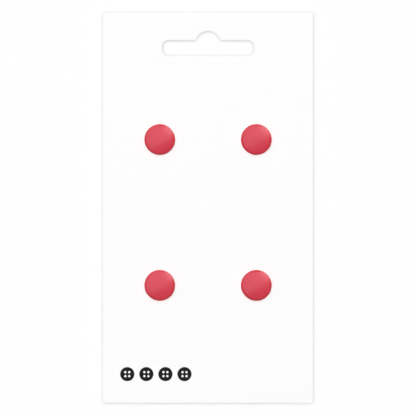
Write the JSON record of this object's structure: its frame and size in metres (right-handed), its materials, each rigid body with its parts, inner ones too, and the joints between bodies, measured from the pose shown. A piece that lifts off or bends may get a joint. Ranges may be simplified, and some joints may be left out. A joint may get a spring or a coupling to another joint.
{
  "type": "card of buttons",
  "caption": "Die-cut white display card with a hanging slot, holding rows of small domed shank buttons kept on from behind by split pins.",
  "frame": {"origin": "under the middle of the card, on the surface that the shanks rest on", "axes": "+X to the right across the card's face, +Y up the card towards the hanging slot, +Z out of the face"},
  "size_m": [0.0684, 0.127, 0.0056],
  "materials": {
    "board": "satin",
    "button": "satin",
    "pin": "satin"
  },
  "bodies": {
    "root": {"card": "board", "button_upper_left": "button", "button_upper_right": "button", "button_lower_left": "button", "button_lower_right": "button", "pin_upper_left": "pin", "pin_upper_right": "pin", "pin_lower_left": "pin", "pin_lower_right": "pin"}
  },
  "joints": []
}
